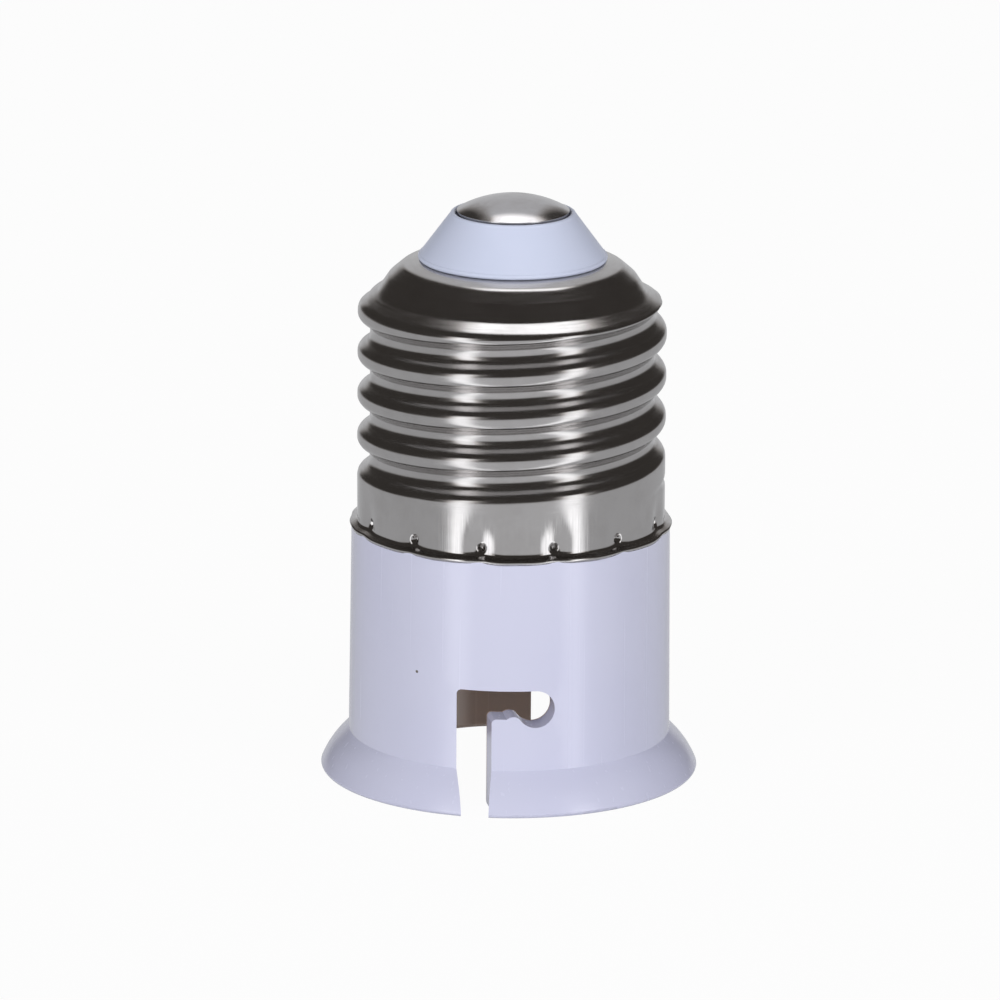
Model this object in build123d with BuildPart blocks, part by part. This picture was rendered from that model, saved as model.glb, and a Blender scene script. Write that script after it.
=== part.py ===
from build123d import *
import math
import os

os.makedirs("parts", exist_ok=True)

# Lamp socket adapter, in millimetres: an Edison screw cap on a bayonet socket.
# The origin is the centre of the socket's mouth, +Z runs to the tip contact, and the pin
# pockets lie on the Y axis.

# Clearances
run_play = 0.05
seat_play = 0.05
press_play = 0.02
nose_play = 0.1
neck_play = 0.1

# Socket of the body
bore_radius = 11.2
bore_length = 12.4
bore_step = 0.2
mouth_round = 0.3
body_foot_radius = 13.7
shoulder_ledge = 0.46
shoulder_height = 21.7
shoulder_chamfer = 0.1

# Flared rim at the mouth
flare_radius = 16.05
flare_height = 3.5
flare_lead = 0.75
rim_round = 0.35

# Slots for the lamp's pins
pocket_height = 8.85
pocket_radius = 1.6
run_width = 2.8
run_reach = 6.5
bridge_height = 2.45
detent_height = 0.22
detent_place = 1.9
slot_round = 0.4
run_narrowing = 0.75

# Floor, seat and neck of the body
floor_thickness = 2.5
stake_room = 1.6
seat_length = 0.9
seat_taper = 1.1
neck_length = 19.5
neck_crown_width = 0.8
neck_crown_height = 1.4
neck_side_room = 0.9

# Screw shell: round thread rolled in sheet
thread_pitch = 3.629
thread_depth = 1.1
thread_turns = 3
crest_radius = 13.1
crest_flat = 0.03
sheet = 0.3
camera_turn = 9.5
full_depth_turn = -90.0
run_out_turn = 230.0
run_out_steps = 12
run_out_spare = 0.08
groove_lip = 0.05
groove_reach = 1.1
flange_overhang = 0.17
flange_height = 0.7
shell_length = 22.75
shell_shoulder_drop = 4.2
shell_break = (11.1, 2.65)
shell_hip = (10.5, 1.45)
shell_crown = (9.35, 0.4)
thread_top_drop = 5.375
flange_bend = 0.35
shoulder_bend = 1.8
break_bend = 0.5
hip_bend = 0.8
crown_bend = 0.9

# Stake marks round the lower edge of the shell
stake_count = 13
stake_turn = -110.6
stake_height = 0.85
stake_depth = 0.62
stake_tip = 0.08
stake_mouth = 0.42

# Tip insulator
nose_radius = 8.0
nose_lift = 0.4
nose_height = 3.5
nose_round = 0.35
nose_ring = 0.45
insulator_seat_width = 1.0
insulator_rim_height = 1.5
shelf_width = 0.6
insulator_wall = 1.7
insulator_roof = 1.13
insulator_bore_radius = 7.4
insulator_face_radius = 3.5

# Centre contact
contact_radius = 4.76
contact_edge = 0.6
contact_rise = 1.27
contact_sink = 0.27
rivet_radius = 1.6
clinch_width = 0.35
clinch_height = 0.5

# Plungers, sleeves and springs
contact_spacing = 9.0
plunger_gap = 0.2
plunger_radius = 1.9
plunger_dome = 0.6
plunger_travel = 4.0
collar_width = 0.5
collar_height = 1.0
stem_radius = 0.9
stem_length = 1.9
stem_chamfer = 0.2
sleeve_wall = 0.4
sleeve_lip = 0.5
sleeve_flange_width = 0.55
sleeve_flange = 0.4
spigot_radius = 0.9
spigot_head_width = 0.6
spigot_head_height = 0.4
spring_play = 0.4
spring_wire = 0.4
spring_turns = 5
spring_spare = 0.35

# Contact carrier
carrier_depth = 5.1
carrier_thickness = 4.0
carrier_play = 0.1
boss_width = 0.7
boss_height = 0.6
tower_wall = 0.95
tower_play = 0.15
barrier_width = 1.2
barrier_length = 9.0
carrier_chamfer = 0.4

# Screws of the carrier
screw_offset = 7.3
screw_radius = 1.1
screw_head_width = 0.9
screw_head_height = 1.4
screw_head_recess = 1.6
screw_length = 5.6
screw_point = 0.9
screw_slot_width = 0.6
screw_slot_depth = 0.6
screw_play = 0.15

# Solder tags, leads and solder
tag_sheet = 0.5
tag_ring_width = 1.8
tag_arm_width = 2.4
tag_reach = 5.4
tag_rise = 3.3
tag_bend = 0.6
tag_hole_drop = 1.0
centre_tag_sheet = 0.4
centre_tag_width = 2.2
centre_tag_ring = 0.45
centre_tag_arm = 0.95
centre_tag_drop = 3.0
lead_radius = 0.4
lead_hole_play = 0.1
lead_tail = 0.9
lead_bend = 1.0
lead_slack = 1.0
lead_slack_bend = 8.0
lead_lane = 1.0
lead_angle = 125.0
lead_hook = 7.7
lead_play = 0.05
lead_cover = 0.15
solder_radius = 0.95

# Sizes that follow, in the socket
slot_top = pocket_height + pocket_radius
bridge_low = slot_top - bridge_height
carrier_bore_radius = bore_radius - bore_step
carrier_face = bore_length + carrier_depth
floor_height = carrier_face + carrier_thickness
floor_top = floor_height + floor_thickness
boss_face = carrier_face - boss_height

# Sizes that follow, in the contacts
contact_place = contact_spacing / 2
plunger_tip_height = bore_length + plunger_gap
collar_radius = plunger_radius + collar_width
collar_face = boss_face + sleeve_lip + run_play
collar_top = collar_face + collar_height
sleeve_bore = collar_radius + run_play
sleeve_radius = sleeve_bore + sleeve_wall
sleeve_flange_radius = sleeve_radius + sleeve_flange_width
sleeve_end = collar_top + plunger_travel + (spring_turns + 1) * spring_wire + spring_spare
sleeve_top_height = sleeve_end + sleeve_wall
spring_radius = sleeve_bore - spring_wire / 2 - spring_play
spigot_head_radius = spigot_radius + spigot_head_width
boss_radius = sleeve_flange_radius + boss_width
tower_radius = sleeve_radius + tower_wall
screw_head_radius = screw_radius + screw_head_width

# Sizes that follow, in the screw shell and the neck
root_radius = crest_radius - thread_depth
thread_arc = (thread_depth**2 + (thread_pitch / 2) ** 2) / (4 * thread_depth)
skirt_radius = crest_radius - crest_flat
body_top_radius = skirt_radius + shoulder_ledge
flange_radius = body_top_radius + flange_overhang
run_out_lift = thread_depth + run_out_spare
shell_foot = shoulder_height + seat_play
shell_top_height = shell_foot + shell_length
thread_top_height = shell_top_height - thread_top_drop
seat_radius = skirt_radius - sheet - seat_play
seat_height = shoulder_height + stake_room
neck_top = shoulder_height + neck_length
neck_radius = root_radius - sheet - neck_play
neck_crown_radius = neck_radius - neck_crown_width
neck_bore_radius = contact_place + tower_radius + neck_side_room
stake_flare = (stake_mouth - stake_tip) / stake_depth
stake_inside = skirt_radius - stake_depth - sheet * math.hypot(1, stake_flare) / stake_flare
stake_groove_radius = stake_inside - seat_play

# Sizes that follow, in the tip
shelf_height = shell_top_height - shell_crown[1] - sheet - seat_play
nose_base_height = shell_top_height + nose_lift
nose_top_height = nose_base_height + nose_height
nose_top_radius = contact_radius + nose_play + nose_ring
contact_seat = nose_top_height - contact_sink
insulator_face_height = contact_seat - insulator_roof
insulator_rim_radius = neck_bore_radius + insulator_seat_width
clinch_radius = rivet_radius + clinch_width
centre_tag_radius = clinch_radius + centre_tag_ring
centre_tag_reach = clinch_radius + centre_tag_arm

# Sizes that follow, for the leads
tag_hole_radius = lead_radius + lead_hole_play
terminal_hole_height = sleeve_top_height + tag_rise - tag_hole_drop
centre_hole_height = insulator_face_height - centre_tag_drop + tag_hole_drop
lead_lane_radius = neck_bore_radius - lead_lane
lead_groove_radius = root_radius - sheet - lead_play - lead_radius
lead_crossing = neck_top - lead_radius - lead_play - lead_cover
lead_end_height = neck_top - lead_hook


def upright_plane(x=0.0, y=0.0):
    """Plane through a vertical line, with the radius along X and the height along Y."""
    return Plane(origin=(x, y, 0), x_dir=(1, 0, 0), z_dir=(0, -1, 0))


def upright_axis(x=0.0, y=0.0):
    """Vertical line that a profile on the upright plane turns about."""
    return Axis((x, y, 0), (0, 0, 1))


def axial_plane(turn, height):
    """Plane through the Z axis at this angle, with the radius along its X direction."""
    angle = math.radians(turn)
    outward = (math.cos(angle), math.sin(angle), 0)
    return Plane(origin=(0, 0, height), x_dir=outward, z_dir=(outward[1], -outward[0], 0))


# Core of one J slot: its run narrows where it passes through the flared rim
with BuildPart() as slot_core:
    inner_edge = run_width - run_reach
    pocket_side = math.sqrt(pocket_radius**2 - (pocket_height - bridge_low) ** 2)
    detent_start = 2 * detent_place - pocket_side
    with BuildSketch(Plane.XZ.offset(bore_radius / 2)):
        with BuildLine():
            Line((-pocket_side, slot_top), (slot_round - run_reach, slot_top))
            JernArc((slot_round - run_reach, slot_top), (-1, 0), slot_round, 90)
            Polyline(
                (-run_reach, slot_top - slot_round),
                (-run_reach, -rim_round),
                (inner_edge, -rim_round),
                (inner_edge, bridge_low - slot_round),
            )
            JernArc((inner_edge, bridge_low - slot_round), (0, 1), slot_round, -90)
            Line((inner_edge + slot_round, bridge_low), (-detent_start, bridge_low))
            ThreePointArc(
                (-detent_start, bridge_low),
                (-detent_place, bridge_low + detent_height),
                (-pocket_side, bridge_low),
            )
            Line((-pocket_side, bridge_low), (-pocket_side, slot_top))
        make_face()
        with Locations((0, pocket_height)):
            Circle(pocket_radius)
        with Locations((-pocket_side / 2, slot_top - pocket_radius / 2)):
            Rectangle(pocket_side, pocket_radius)
    extrude(amount=flare_radius)
    run_end = bore_radius / 2 + flare_radius
    wall_end = math.sqrt(body_foot_radius**2 - inner_edge**2)
    narrowing = run_narrowing * (run_end - wall_end) / (flare_radius - wall_end)
    with BuildSketch(Plane.XY.offset(-2 * rim_round)):
        with BuildLine():
            Polyline(
                (inner_edge, -wall_end),
                (inner_edge, -run_end),
                (inner_edge - narrowing, -run_end),
                close=True,
            )
        make_face()
    extrude(amount=flare_height + 2 * rim_round, mode=Mode.SUBTRACT)


# Body: one moulding with the socket, the flared rim, the shell's seat and the neck
with BuildPart() as body:
    with BuildSketch(Plane.XZ):
        with BuildLine():
            Polyline(
                (bore_radius, mouth_round),
                (bore_radius, bore_length),
                (carrier_bore_radius, bore_length),
                (carrier_bore_radius, floor_height),
                (0, floor_height),
                (0, floor_top),
                (neck_bore_radius, floor_top),
                (neck_bore_radius, neck_top),
                (neck_crown_radius, neck_top),
                (neck_radius, neck_top - neck_crown_height),
                (neck_radius, seat_height + seat_length + seat_taper),
                (seat_radius, seat_height + seat_length),
                (seat_radius, seat_height),
                (stake_groove_radius, seat_height),
                (stake_groove_radius, shoulder_height),
                (body_top_radius - shoulder_chamfer, shoulder_height),
                (body_top_radius, shoulder_height - shoulder_chamfer),
                (body_foot_radius, flare_height),
                (body_foot_radius + flare_lead, flare_height - flare_lead),
            )
            TangentArc(
                (body_foot_radius + flare_lead, flare_height - flare_lead),
                (flare_radius, rim_round),
                tangent=(1, -1),
            )
            rim_centre = (flare_radius - rim_round, rim_round)
            rim_corner = rim_round * math.sqrt(0.5)
            ThreePointArc(
                (flare_radius, rim_round),
                (rim_centre[0] + rim_corner, rim_centre[1] - rim_corner),
                (rim_centre[0], 0),
            )
            mouth_centre = (bore_radius + mouth_round, mouth_round)
            mouth_corner = mouth_round * math.sqrt(0.5)
            Line((rim_centre[0], 0), (mouth_centre[0], 0))
            ThreePointArc(
                (mouth_centre[0], 0),
                (mouth_centre[0] - mouth_corner, mouth_centre[1] - mouth_corner),
                (bore_radius, mouth_round),
            )
        make_face()
    revolve(axis=Axis.Z)

    # Window for the carrier's towers, and the pilot holes of the screws
    with BuildSketch(Plane.XY.offset(floor_height)):
        window_half = tower_radius + tower_play
        SlotOverall(contact_spacing + 2 * window_half, 2 * window_half)
        with Locations((0, -screw_offset), (0, screw_offset)):
            Circle(screw_radius + press_play)
    extrude(amount=floor_thickness, mode=Mode.SUBTRACT)

    # Two J-shaped slots, each the other turned by half a turn
    add(slot_core.part, mode=Mode.SUBTRACT)
    add(slot_core.part.rotate(Axis.Z, 180), mode=Mode.SUBTRACT)

    # Notch over the neck and groove down its outside for the lead to the shell
    lead_slot = 2 * (lead_radius + lead_play)
    notch_floor = lead_crossing - lead_radius - lead_play
    groove_floor = lead_groove_radius - lead_radius - lead_play
    with BuildSketch(axial_plane(lead_angle, 0)):
        with BuildLine():
            FilletPolyline(
                (neck_bore_radius - lead_radius, notch_floor),
                (groove_floor, notch_floor),
                (groove_floor, lead_end_height - lead_radius),
                radius=lead_bend - lead_radius - lead_play,
            )
            Polyline(
                (groove_floor, lead_end_height - lead_radius),
                (neck_radius + lead_radius, lead_end_height - lead_radius),
                (neck_radius + lead_radius, neck_top + lead_radius),
                (neck_bore_radius - lead_radius, neck_top + lead_radius),
                (neck_bore_radius - lead_radius, notch_floor),
            )
        make_face()
    extrude(amount=lead_slot / 2, both=True, mode=Mode.SUBTRACT)

body.part.label = "body"
export_step(body.part, "parts/body.step")


def inset_line(points, inward):
    """The same run of straight lines, moved square to themselves towards the axis."""
    moved = []
    for start, end in zip(points, points[1:]):
        along = Vector(end[0] - start[0], end[1] - start[1]).normalized()
        shift = Vector(-along.Y, along.X) * inward
        moved.append((Vector(*start) + shift, along))
    first, last = moved[0], moved[-1]
    run = (Vector(*points[-1]) - Vector(*points[-2])).length
    corners = [first[0]]
    for (here, along), (there, onward) in zip(moved, moved[1:]):
        gap = there - here
        reach = (gap.X * onward.Y - gap.Y * onward.X) / (along.X * onward.Y - along.Y * onward.X)
        corners.append(here + along * reach)
    corners.append(last[0] + last[1] * run)
    return [(corner.X, corner.Y) for corner in corners]


def shell_outline(inward):
    """Corners and bend radii of the drawn cup, moved inwards by this much."""
    corners = [
        (flange_radius, shell_foot),
        (skirt_radius, shell_foot + flange_height),
        (skirt_radius, shell_top_height - shell_shoulder_drop),
        *((radius, shell_top_height - drop) for radius, drop in (shell_break, shell_hip, shell_crown)),
        (nose_radius + nose_play, shell_top_height),
    ]
    bends = [
        flange_bend + inward,
        shoulder_bend - inward,
        break_bend + inward,
        hip_bend - inward,
        crown_bend - inward,
    ]
    return inset_line(corners, inward), bends


def drawn_blank(inward):
    """Solid of the cup before rolling, filled down to the edge of its flange."""
    corners, bends = shell_outline(inward)
    with BuildPart() as blank:
        with BuildSketch(Plane.XZ):
            with BuildLine():
                FilletPolyline(*corners, radius=bends)
                Polyline(
                    corners[-1],
                    (0, corners[-1][1]),
                    (0, corners[0][1]),
                    corners[0],
                )
            make_face()
        revolve(axis=Axis.Z)
    return blank.part


def groove_profile(plane, inward, lift):
    """Section of the thread groove: a root arc between two crest arcs, lifted outwards."""
    root_arc = thread_arc + inward
    crest_arc = thread_arc - inward
    skirt = crest_radius - crest_flat - inward
    root_centre = root_radius + thread_arc
    crest_centre = crest_radius - thread_arc
    half_pitch = thread_pitch / 2
    flank = math.atan2(half_pitch, root_centre - crest_centre)
    land = math.acos((skirt - crest_centre) / crest_arc)

    def on_crest(angle, side):
        radius = crest_centre + crest_arc * math.cos(angle) + lift
        return (radius, side * (half_pitch - crest_arc * math.sin(angle)))

    def lip(side, radius):
        edge = on_crest(land, side)
        return (radius, edge[1] + side * groove_lip / math.tan(land))

    lip_radius = skirt + groove_lip + lift
    outer_radius = skirt + groove_reach + lift
    with BuildSketch(plane) as profile:
        with BuildLine():
            for side in (1, -1):
                ThreePointArc(
                    on_crest(flank, side),
                    on_crest((flank + land) / 2, side),
                    on_crest(land, side),
                )
                Polyline(
                    on_crest(land, side),
                    lip(side, lip_radius),
                    lip(side, outer_radius),
                )
            Line(lip(1, outer_radius), lip(-1, outer_radius))
            ThreePointArc(
                on_crest(flank, 1),
                (root_centre - root_arc + lift, 0),
                on_crest(flank, -1),
            )
        make_face()
    return profile.sketch


def thread_groove(inward):
    """The rolled groove: full depth up to the shoulder, and a run-out that fades downwards."""
    skirt = crest_radius - crest_flat - inward
    full_depth_height = thread_top_height + thread_pitch * (full_depth_turn / 360 - thread_turns)
    start = Location((0, 0, full_depth_height), (0, 0, full_depth_turn - 90 - camera_turn))
    with BuildPart() as groove:
        with BuildLine():
            path = Helix(thread_pitch, shell_top_height - full_depth_height, skirt)
        sweep(sections=groove_profile(axial_plane(0, 0), inward, 0), path=path, is_frenet=True)
    sections = []
    for step in range(run_out_steps + 1):
        share = step / run_out_steps
        turn = -run_out_turn * share
        plane = axial_plane(turn, thread_pitch * turn / 360)
        sections.append(groove_profile(plane, inward, run_out_lift * share))
    with BuildPart() as run_out:
        loft(sections=sections)
    return [groove.part.moved(start), run_out.part.moved(start)]


# Screw shell: a drawn cup with a rolled thread, staked to the body round its lower edge
shell_blank = drawn_blank(0)
shell_cavity = drawn_blank(sheet)
outer_groove = thread_groove(0)
inner_groove = thread_groove(sheet)

with BuildPart() as cavity:
    add(shell_cavity)
    for groove in inner_groove:
        add(groove, mode=Mode.SUBTRACT)

with BuildPart() as screw_shell:
    add(shell_blank)
    for groove in outer_groove:
        add(groove, mode=Mode.SUBTRACT)
    add(cavity.part, mode=Mode.SUBTRACT)
    with Locations((0, 0, shell_top_height)):
        Cylinder(nose_radius + nose_play, 4 * sheet, mode=Mode.SUBTRACT)

    # Each stake mark is a cone pressed in from outside, with a bump of the same sheet inside
    bump_length = skirt_radius - sheet / 2 - stake_inside
    with Locations((0, 0, shell_foot + stake_height)):
        with PolarLocations(stake_inside, stake_count, stake_turn):
            Cone(
                stake_tip,
                stake_tip + bump_length * stake_flare,
                bump_length,
                rotation=(0, 90, 0),
                align=(Align.CENTER, Align.CENTER, Align.MIN),
            )
        with PolarLocations(skirt_radius - stake_depth, stake_count, stake_turn):
            Cone(
                stake_tip,
                stake_tip + 2 * stake_depth * stake_flare,
                2 * stake_depth,
                rotation=(0, 90, 0),
                align=(Align.CENTER, Align.CENTER, Align.MIN),
                mode=Mode.SUBTRACT,
            )

screw_shell.part.label = "screw_shell"
export_step(screw_shell.part, "parts/screw_shell.step")


# Tip insulator: a cone that stands through the shell's hole, clamped under it by its flange
with BuildPart() as tip_insulator:
    with BuildSketch(Plane.XZ):
        with BuildLine():
            Polyline(
                (insulator_bore_radius, neck_top),
                (insulator_rim_radius, neck_top),
                (insulator_rim_radius, neck_top + insulator_rim_height),
                (nose_radius + shelf_width, shelf_height),
                (nose_radius - nose_round, shelf_height),
                (nose_radius - nose_round, nose_base_height - nose_round),
            )
            ThreePointArc(
                (nose_radius - nose_round, nose_base_height - nose_round),
                (nose_radius, nose_base_height - nose_round / 2),
                (nose_radius - nose_round / 2, nose_base_height + nose_round / 4),
            )
            Line(
                (nose_radius - nose_round / 2, nose_base_height + nose_round / 4),
                (nose_top_radius, nose_top_height),
            )
            ThreePointArc(
                (nose_top_radius, nose_top_height),
                (contact_radius + nose_play + nose_ring * 0.6, contact_seat + nose_ring),
                (contact_radius + nose_play, contact_seat + nose_ring * 0.8),
            )
            Polyline(
                (contact_radius + nose_play, contact_seat + nose_ring * 0.8),
                (contact_radius + nose_play, contact_seat),
                (rivet_radius + seat_play, contact_seat),
                (rivet_radius + seat_play, insulator_face_height),
                (insulator_face_radius, insulator_face_height),
                (nose_radius - insulator_wall, nose_base_height - insulator_wall / 2),
                (insulator_bore_radius, neck_top),
            )
        make_face()
    revolve(axis=Axis.Z)

tip_insulator.part.label = "tip_insulator"
export_step(tip_insulator.part, "parts/tip_insulator.step")


# Centre contact: a domed head with a rivet tail that is clinched over its tag
with BuildPart() as centre_contact:
    tag_face = insulator_face_height - centre_tag_sheet
    dome_edge = contact_seat + contact_edge
    dome_radius = (contact_radius**2 + contact_rise**2) / (2 * contact_rise)
    dome_middle = contact_radius / 2
    dome_sag = math.sqrt(dome_radius**2 - dome_middle**2) - (dome_radius - contact_rise)
    with BuildSketch(Plane.XZ):
        with BuildLine():
            ThreePointArc(
                (0, dome_edge + contact_rise),
                (dome_middle, dome_edge + dome_sag),
                (contact_radius, dome_edge),
            )
            Polyline(
                (contact_radius, dome_edge),
                (contact_radius, contact_seat),
                (rivet_radius, contact_seat),
                (rivet_radius, tag_face),
                (clinch_radius, tag_face),
                (rivet_radius, tag_face - clinch_height),
                (0, tag_face - clinch_height),
                (0, dome_edge + contact_rise),
            )
        make_face()
    revolve(axis=Axis.Z)

centre_contact.part.label = "centre_contact"
export_step(centre_contact.part, "parts/centre_contact.step")


# Contact carrier: an insulating block with a boss and a tower round each sleeve
with BuildPart() as contact_carrier:
    sleeve_places = ((-contact_place, 0), (contact_place, 0))
    screw_places = ((0, -screw_offset), (0, screw_offset))
    with BuildSketch(Plane.XY.offset(carrier_face)):
        Circle(carrier_bore_radius - carrier_play)
    extrude(amount=carrier_thickness)
    chamfer(contact_carrier.edges().group_by(Axis.Z)[0], carrier_chamfer)
    with BuildSketch(Plane.XY.offset(carrier_face)):
        with Locations(*sleeve_places):
            Circle(boss_radius)
        Rectangle(barrier_width, barrier_length)
    extrude(amount=-boss_height)
    with BuildSketch(Plane.XY.offset(floor_height)):
        with Locations(*sleeve_places):
            Circle(tower_radius)
    extrude(amount=sleeve_top_height - floor_height)
    with BuildSketch(Plane.XY.offset(boss_face)):
        with Locations(*sleeve_places):
            Circle(sleeve_radius + seat_play)
    extrude(amount=sleeve_top_height - boss_face, mode=Mode.SUBTRACT)
    with BuildSketch(Plane.XY.offset(boss_face)):
        with Locations(*sleeve_places):
            Circle(sleeve_flange_radius + seat_play)
    extrude(amount=sleeve_flange, mode=Mode.SUBTRACT)
    with BuildSketch(Plane.XY.offset(carrier_face)):
        with Locations(*screw_places):
            Circle(screw_radius + screw_play)
    extrude(amount=carrier_thickness, mode=Mode.SUBTRACT)
    with BuildSketch(Plane.XY.offset(carrier_face)):
        with Locations(*screw_places):
            Circle(screw_head_radius + screw_play)
    extrude(amount=screw_head_recess, mode=Mode.SUBTRACT)

contact_carrier.part.label = "contact_carrier"
export_step(contact_carrier.part, "parts/contact_carrier.step")


# Sleeves, plungers, springs and terminals, one set on each side
terminals = {}
for side_name, side in (("left", -1), ("right", 1)):
    place = side * contact_place

    # The sleeve's mouth is rolled in over the plunger, and its spigot is headed over the tag
    with BuildPart() as sleeve:
        with BuildSketch(upright_plane(place)):
            with BuildLine():
                Polyline(
                    (plunger_radius + run_play, boss_face),
                    (sleeve_flange_radius, boss_face),
                    (sleeve_flange_radius, boss_face + sleeve_flange),
                    (sleeve_radius, boss_face + sleeve_flange),
                    (sleeve_radius, sleeve_top_height),
                    (spigot_radius, sleeve_top_height),
                    (spigot_radius, sleeve_top_height + tag_sheet),
                    (spigot_head_radius, sleeve_top_height + tag_sheet),
                    (spigot_radius, sleeve_top_height + tag_sheet + spigot_head_height),
                    (0, sleeve_top_height + tag_sheet + spigot_head_height),
                    (0, sleeve_end),
                    (sleeve_bore, sleeve_end),
                    (sleeve_bore, boss_face + sleeve_lip),
                    (plunger_radius + run_play, boss_face + sleeve_lip),
                    close=True,
                )
            make_face()
        revolve(axis=upright_axis(place))
    sleeve.part.label = f"{side_name}_sleeve"
    export_step(sleeve.part, f"parts/{side_name}_sleeve.step")

    with BuildPart() as plunger:
        with BuildSketch(upright_plane(place)):
            with BuildLine():
                ThreePointArc(
                    (0, plunger_tip_height),
                    (plunger_radius * 0.6, plunger_tip_height + plunger_dome * 0.3),
                    (plunger_radius, plunger_tip_height + plunger_dome),
                )
                Polyline(
                    (plunger_radius, plunger_tip_height + plunger_dome),
                    (plunger_radius, collar_face),
                    (collar_radius, collar_face),
                    (collar_radius, collar_top),
                    (stem_radius, collar_top),
                    (stem_radius, collar_top + stem_length - stem_chamfer),
                    (stem_radius - stem_chamfer, collar_top + stem_length),
                    (0, collar_top + stem_length),
                    (0, plunger_tip_height),
                )
            make_face()
        revolve(axis=upright_axis(place))
    plunger.part.label = f"{side_name}_plunger"
    export_step(plunger.part, f"parts/{side_name}_plunger.step")

    with BuildPart() as spring:
        spring_foot = collar_top + spring_wire / 2 + press_play
        spring_head = sleeve_end - spring_wire / 2 - press_play
        spring_height = spring_head - spring_foot
        with BuildLine():
            coil = Helix(
                spring_height / spring_turns,
                spring_height,
                spring_radius,
                center=(place, 0, spring_foot),
            )
        with BuildSketch(Plane(origin=coil @ 0, z_dir=coil % 0)):
            Circle(spring_wire / 2)
        sweep(path=coil, is_frenet=True)
    spring.part.label = f"{side_name}_spring"
    export_step(spring.part, f"parts/{side_name}_spring.step")

    # The tag's arm runs along Y and turns up, away from the other side's
    with BuildPart() as terminal:
        strip_height = sleeve_top_height + tag_sheet / 2
        upright = tag_reach - tag_sheet / 2
        arm_plane = Plane(origin=(place, 0, 0), x_dir=(0, -side, 0), z_dir=(-side, 0, 0))
        with BuildSketch(arm_plane):
            with BuildLine():
                FilletPolyline(
                    (spigot_head_radius, strip_height),
                    (upright, strip_height),
                    (upright, sleeve_top_height + tag_rise),
                    radius=tag_bend,
                )
            trace(line_width=tag_sheet)
        extrude(amount=tag_arm_width / 2, both=True)
        with BuildSketch(Plane(origin=(place, 0, sleeve_top_height))):
            Circle(spigot_head_radius + tag_ring_width)
            Circle(spigot_radius + press_play, mode=Mode.SUBTRACT)
        extrude(amount=tag_sheet)
        with BuildSketch(Plane(origin=(place, 0, terminal_hole_height), z_dir=(0, 1, 0))):
            Circle(tag_hole_radius)
        extrude(amount=2 * tag_reach, both=True, mode=Mode.SUBTRACT)
    terminal.part.label = f"{side_name}_terminal"
    export_step(terminal.part, f"parts/{side_name}_terminal.step")
    terminals[side_name] = terminal.part


# Screws that hold the carrier against the floor of the body; their threads are left plain
for end_name, end in (("front", -1), ("rear", 1)):
    with BuildPart() as screw:
        head_face = carrier_face + screw_head_recess - screw_head_height
        head_back = head_face + screw_head_height
        screw_end = head_back + screw_length
        head_edge = screw_head_height / 3
        with BuildSketch(upright_plane(0, end * screw_offset)):
            with BuildLine():
                Polyline(
                    (0, head_face),
                    (screw_head_radius - head_edge, head_face),
                    (screw_head_radius, head_face + head_edge),
                    (screw_head_radius, head_back),
                    (screw_radius, head_back),
                    (screw_radius, screw_end - screw_point),
                    (0, screw_end),
                    close=True,
                )
            make_face()
        revolve(axis=upright_axis(0, end * screw_offset))
        with BuildSketch(Plane(origin=(0, end * screw_offset, head_face))):
            Rectangle(4 * screw_head_radius, screw_slot_width, rotation=end * 25)
        extrude(amount=screw_slot_depth, mode=Mode.SUBTRACT)
    screw.part.label = f"{end_name}_screw"
    export_step(screw.part, f"parts/{end_name}_screw.step")


# Centre tag: a ring under the rivet's clinched end, with an arm that turns down
with BuildPart() as centre_tag:
    strip_height = insulator_face_height - centre_tag_sheet / 2
    upright = centre_tag_reach - centre_tag_sheet / 2
    with BuildSketch(Plane(origin=(0, 0, 0), x_dir=(0, -1, 0), z_dir=(-1, 0, 0))):
        with BuildLine():
            FilletPolyline(
                (clinch_radius, strip_height),
                (upright, strip_height),
                (upright, insulator_face_height - centre_tag_drop),
                radius=centre_tag_sheet,
            )
        trace(line_width=centre_tag_sheet)
    extrude(amount=centre_tag_width / 2, both=True)
    with BuildSketch(Plane.XY.offset(insulator_face_height)):
        Circle(centre_tag_radius)
        Circle(rivet_radius + press_play, mode=Mode.SUBTRACT)
    extrude(amount=-centre_tag_sheet)
    with BuildSketch(Plane(origin=(0, 0, centre_hole_height), z_dir=(0, -1, 0))):
        Circle(tag_hole_radius)
    extrude(amount=2 * centre_tag_reach, mode=Mode.SUBTRACT)

centre_tag.part.label = "centre_tag"
export_step(centre_tag.part, "parts/centre_tag.step")


# Leads: each end goes straight through the hole of its tag
lead_end = tag_reach + lead_tail
lead_turn = lead_end - 3 * lead_bend - lead_tail

with BuildPart() as centre_lead:
    with BuildLine() as centre_route:
        FilletPolyline(
            (contact_place, -lead_end, terminal_hole_height),
            (contact_place, -lead_turn, terminal_hole_height),
            (contact_place - lead_slack, 0, (terminal_hole_height + centre_hole_height) / 2),
            (0, 0, centre_hole_height),
            (0, -centre_tag_reach - lead_tail, centre_hole_height),
            radius=(lead_bend, lead_slack_bend, lead_bend),
        )
    with BuildSketch(Plane(origin=centre_route.line @ 0, z_dir=centre_route.line % 0)):
        Circle(lead_radius)
    sweep(path=centre_route.line)
centre_lead.part.label = "centre_lead"
export_step(centre_lead.part, "parts/centre_lead.step")

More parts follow.
